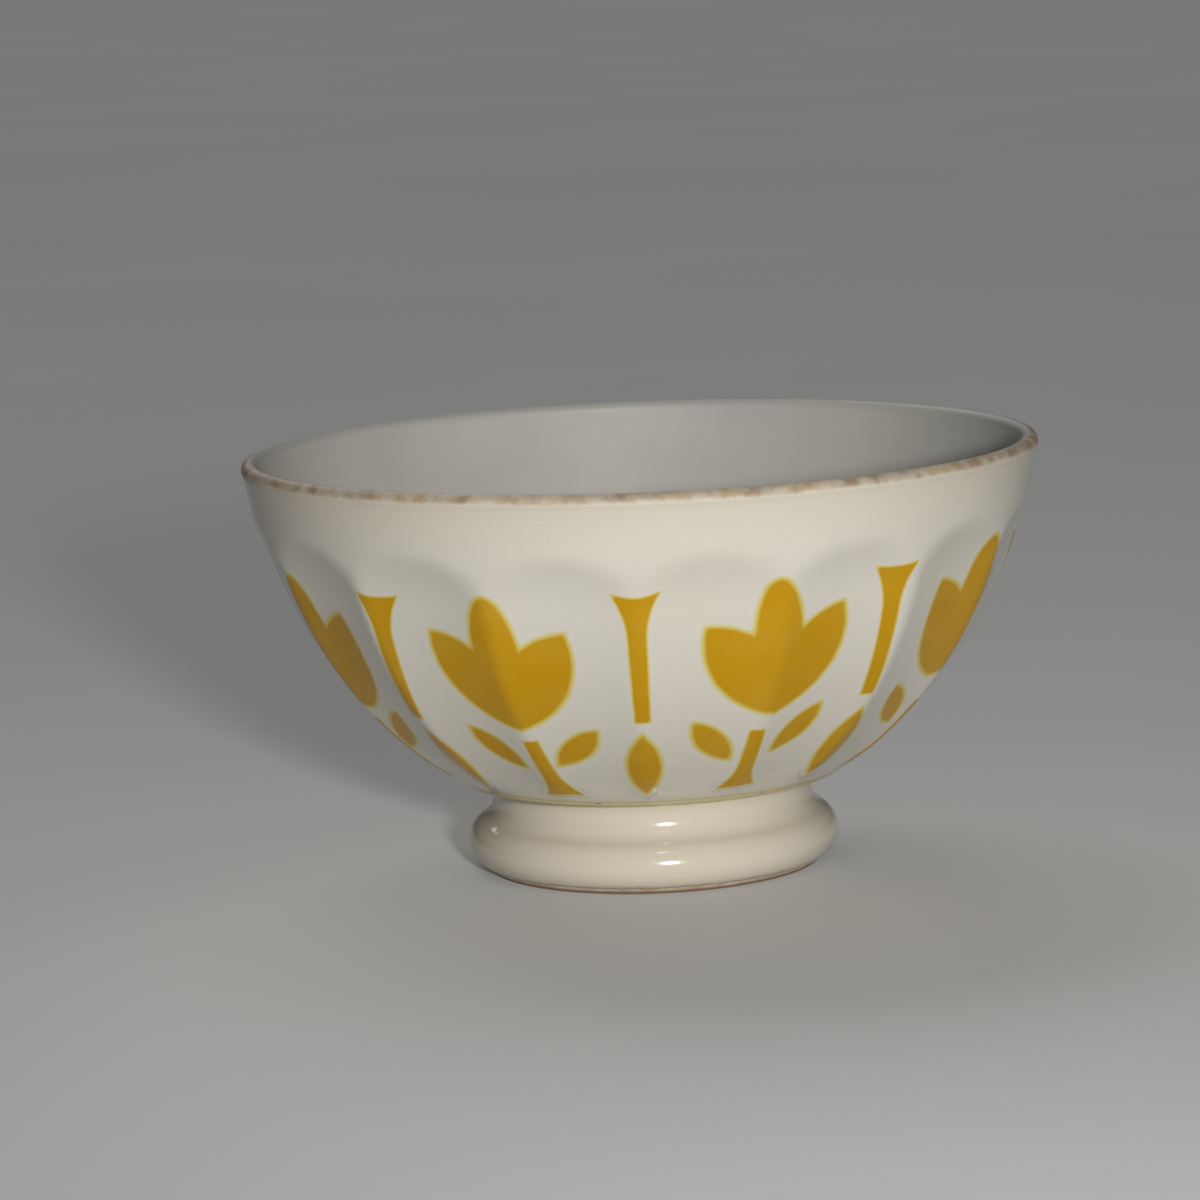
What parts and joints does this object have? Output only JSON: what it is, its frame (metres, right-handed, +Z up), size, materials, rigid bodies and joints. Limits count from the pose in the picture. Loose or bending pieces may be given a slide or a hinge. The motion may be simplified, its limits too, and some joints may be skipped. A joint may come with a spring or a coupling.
{
  "type": "footed bowl",
  "caption": "Footed earthenware breakfast bowl, cream glazed, with arched flutes around its wall and a stencilled yellow tulip border; open at the top to hold food or drink.",
  "frame": {"origin": "centre of the standing ring, on the surface that the bowl stands on", "axes": "+Z up along the bowl's axis, -Y towards the viewer of the picture, through a bar"},
  "size_m": [0.151, 0.151, 0.0805],
  "materials": {
    "biscuit": "matt fired clay, stained brown where it is bare",
    "slip": "glossy, crazed and yellowed",
    "white_glaze": "glossy cream white",
    "yellow_stencil": "glossy golden yellow with soft edges"
  },
  "bodies": {
    "root": {"bowl_body": "biscuit", "foot_ring": "biscuit", "luting_slip": "slip", "inner_glaze": "white_glaze", "outer_glaze": "white_glaze", "foot_glaze": "white_glaze", "recess_glaze": "white_glaze", "tulip_colour": "yellow_stencil", "bar_colour": "yellow_stencil", "bud_colour": "yellow_stencil", "stem_colour": "yellow_stencil", "leaf_colour": "yellow_stencil"}
  },
  "joints": []
}
